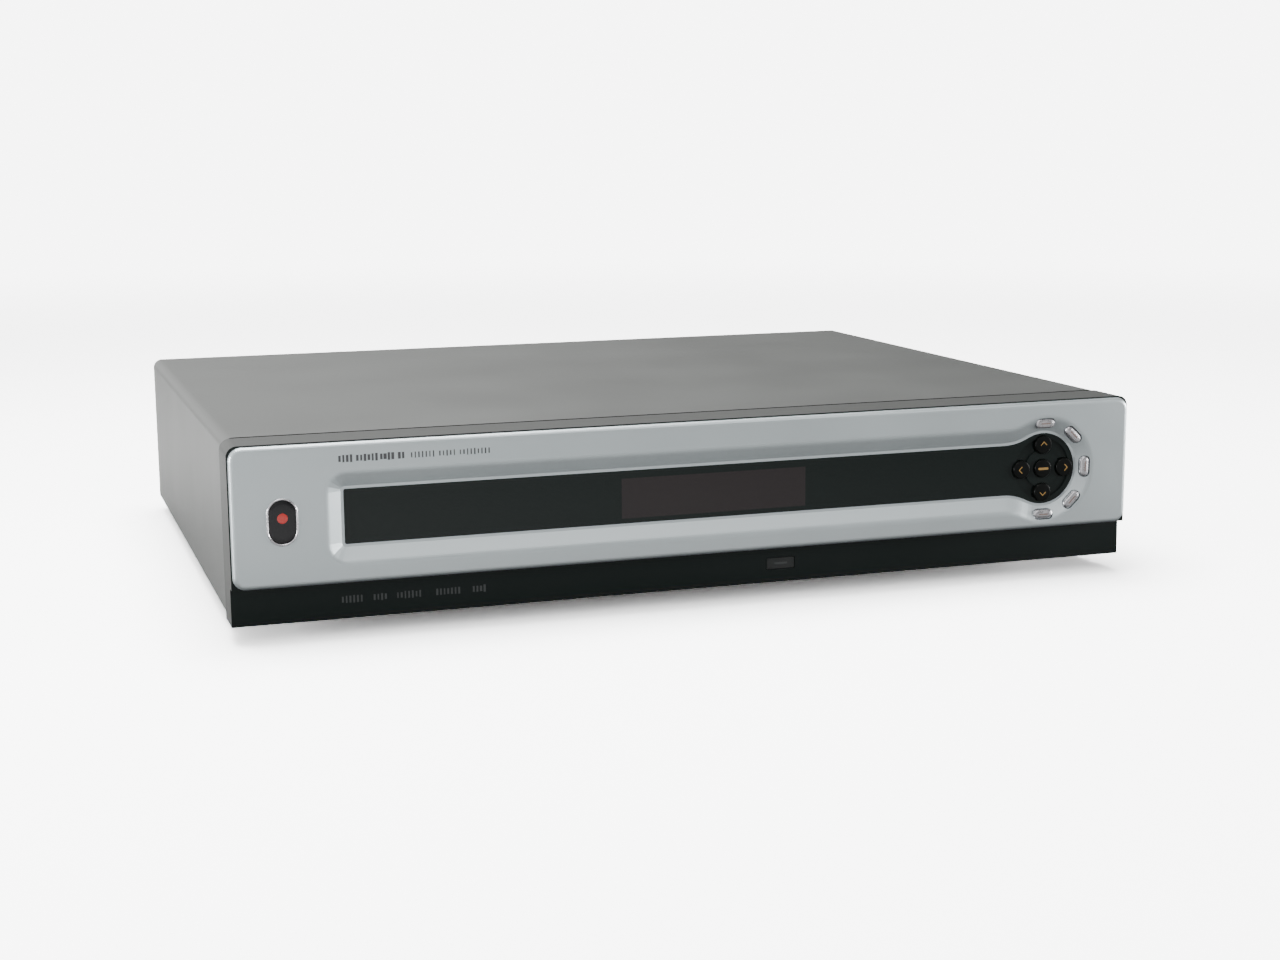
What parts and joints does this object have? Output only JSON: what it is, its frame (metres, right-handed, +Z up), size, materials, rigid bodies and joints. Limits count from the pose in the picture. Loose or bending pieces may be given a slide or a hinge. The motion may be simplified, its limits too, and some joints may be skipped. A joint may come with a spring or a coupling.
{
  "type": "digital video recorder",
  "caption": "Low silver-fronted video recorder box with a long smoked display window, a ring of round and long keys, sockets and a fan behind, and a hard drive inside.",
  "frame": {"origin": "on the floor under the middle of the recorder, at the centre of its bounding box's underside", "axes": "X to the viewer's right along the front, Y from front to back, Z up"},
  "size_m": [0.419, 0.3414, 0.0845],
  "materials": {
    "bezel_plastic": "dark satin moulding",
    "silver_plate": "satin silver",
    "smoked_window": "polished smoked acrylic",
    "black_plastic": "moulded, matte",
    "round_key": "satin black with amber print",
    "silver_key": "satin silver plating",
    "plinth_key": "satin",
    "badge_enamel": "enamel in a silver rim",
    "display_glass": "dim display glass",
    "circuit_board": "green solder mask",
    "power_board": "bare phenolic board",
    "cover_paint": "satin warm grey",
    "zinc_sheet": "zinc plated",
    "rear_panel_sheet": "zinc plated",
    "foot_rubber": "moulded",
    "steel_screw": "zinc plated",
    "chip_black": "epoxy",
    "sink_aluminium": "bare",
    "capacitor_sleeve": "shrink sleeve",
    "tin_can": "tinned",
    "nickel": "nickel plated",
    "red_plastic": "moulded",
    "white_plastic": "moulded",
    "yellow_plastic": "moulded",
    "green_plastic": "moulded",
    "blue_plastic": "moulded",
    "transformer_tape": "wound with tape",
    "fan_plastic": "moulded",
    "drive_alloy": "cast",
    "drive_steel": "pressed",
    "platter_mirror": "polished",
    "cable_grey": "ribbon",
    "cable_red": "sleeved",
    "cable_yellow": "bundled leads"
  },
  "bodies": {
    "recorder": {"front_bezel": "bezel_plastic", "face_plate": "silver_plate", "display_window": "smoked_window", "key_guide": "black_plastic", "badge": "badge_enamel", "display_module": "display_glass", "front_board": "circuit_board", "key_switches": "black_plastic", "top_cover": "cover_paint", "chassis_base": "zinc_sheet", "rear_panel": "rear_panel_sheet", "feet": "foot_rubber", "foot_screws": "steel_screw", "rear_screws": "steel_screw", "inner_screws": "steel_screw", "main_board": "circuit_board", "main_chips": "chip_black", "heat_sink": "sink_aluminium", "capacitors": "capacitor_sleeve", "tuner_cans": "tin_can", "coax_sockets": "nickel", "card_cage": "tin_can", "hdmi_socket": "nickel", "usb_sockets": "nickel", "modular_sockets": "nickel", "jack_block": "black_plastic", "jack_shells": "nickel", "red_inserts": "red_plastic", "white_inserts": "white_plastic", "yellow_inserts": "yellow_plastic", "green_insert": "green_plastic", "blue_insert": "blue_plastic", "s_video_socket": "black_plastic", "control_jacks": "black_plastic", "power_inlet": "black_plastic", "power_board": "power_board", "transformer": "transformer_tape", "power_heat_sinks": "sink_aluminium", "fan_frame": "black_plastic", "drive_case": "drive_alloy", "drive_lid": "drive_steel", "drive_bracket": "zinc_sheet", "drive_grommets": "foot_rubber", "ribbon_cable": "cable_grey", "drive_cable": "cable_red", "power_harness": "cable_yellow"},
    "up_key": {"up_key": "round_key"},
    "down_key": {"down_key": "round_key"},
    "left_key": {"left_key": "round_key"},
    "right_key": {"right_key": "round_key"},
    "select_key": {"select_key": "round_key"},
    "top_pill_key": {"top_pill_key": "silver_key"},
    "upper_pill_key": {"upper_pill_key": "silver_key"},
    "side_pill_key": {"side_pill_key": "silver_key"},
    "lower_pill_key": {"lower_pill_key": "silver_key"},
    "bottom_pill_key": {"bottom_pill_key": "silver_key"},
    "plinth_button": {"plinth_button": "plinth_key"},
    "fan_rotor": {"fan_rotor": "fan_plastic"},
    "drive_platters": {"drive_platters": "platter_mirror"},
    "drive_arm": {"drive_arm": "sink_aluminium"}
  },
  "joints": [
    {"name": "up_key_press", "type": "slide", "parent": "recorder", "child": "up_key", "axis": [0, 1, 0], "range_m": [0, 0.0008], "stiffness_N_per_m": 300, "springref_m": -0.001},
    {"name": "down_key_press", "type": "slide", "parent": "recorder", "child": "down_key", "axis": [0, 1, 0], "range_m": [0, 0.0008], "stiffness_N_per_m": 300, "springref_m": -0.001},
    {"name": "left_key_press", "type": "slide", "parent": "recorder", "child": "left_key", "axis": [0, 1, 0], "range_m": [0, 0.0008], "stiffness_N_per_m": 300, "springref_m": -0.001},
    {"name": "right_key_press", "type": "slide", "parent": "recorder", "child": "right_key", "axis": [0, 1, 0], "range_m": [0, 0.0008], "stiffness_N_per_m": 300, "springref_m": -0.001},
    {"name": "select_key_press", "type": "slide", "parent": "recorder", "child": "select_key", "axis": [0, 1, 0], "range_m": [0, 0.0008], "stiffness_N_per_m": 300, "springref_m": -0.001},
    {"name": "top_pill_key_press", "type": "slide", "parent": "recorder", "child": "top_pill_key", "axis": [0, 1, 0], "range_m": [0, 0.0007], "stiffness_N_per_m": 300, "springref_m": -0.001},
    {"name": "upper_pill_key_press", "type": "slide", "parent": "recorder", "child": "upper_pill_key", "axis": [0, 1, 0], "range_m": [0, 0.0007], "stiffness_N_per_m": 300, "springref_m": -0.001},
    {"name": "side_pill_key_press", "type": "slide", "parent": "recorder", "child": "side_pill_key", "axis": [0, 1, 0], "range_m": [0, 0.0007], "stiffness_N_per_m": 300, "springref_m": -0.001},
    {"name": "lower_pill_key_press", "type": "slide", "parent": "recorder", "child": "lower_pill_key", "axis": [0, 1, 0], "range_m": [0, 0.0007], "stiffness_N_per_m": 300, "springref_m": -0.001},
    {"name": "bottom_pill_key_press", "type": "slide", "parent": "recorder", "child": "bottom_pill_key", "axis": [0, 1, 0], "range_m": [0, 0.0007], "stiffness_N_per_m": 300, "springref_m": -0.001},
    {"name": "plinth_button_press", "type": "slide", "parent": "recorder", "child": "plinth_button", "axis": [0, 1, 0], "range_m": [0, 0.0007], "stiffness_N_per_m": 300, "springref_m": -0.001},
    {"name": "fan_spin", "type": "hinge", "parent": "recorder", "child": "fan_rotor", "pos_m": [-0.095, 0.152, 0.04625], "axis": [0, 1, 0], "continuous": true},
    {"name": "platter_spin", "type": "hinge", "parent": "recorder", "child": "drive_platters", "pos_m": [-0.1442, -0.03, 0.036], "axis": [0, 0, 1], "continuous": true},
    {"name": "arm_swing", "type": "hinge", "parent": "recorder", "child": "drive_arm", "pos_m": [-0.1222, -0.083, 0.035], "axis": [0, 0, 1], "range_deg": [-34, 0]}
  ]
}
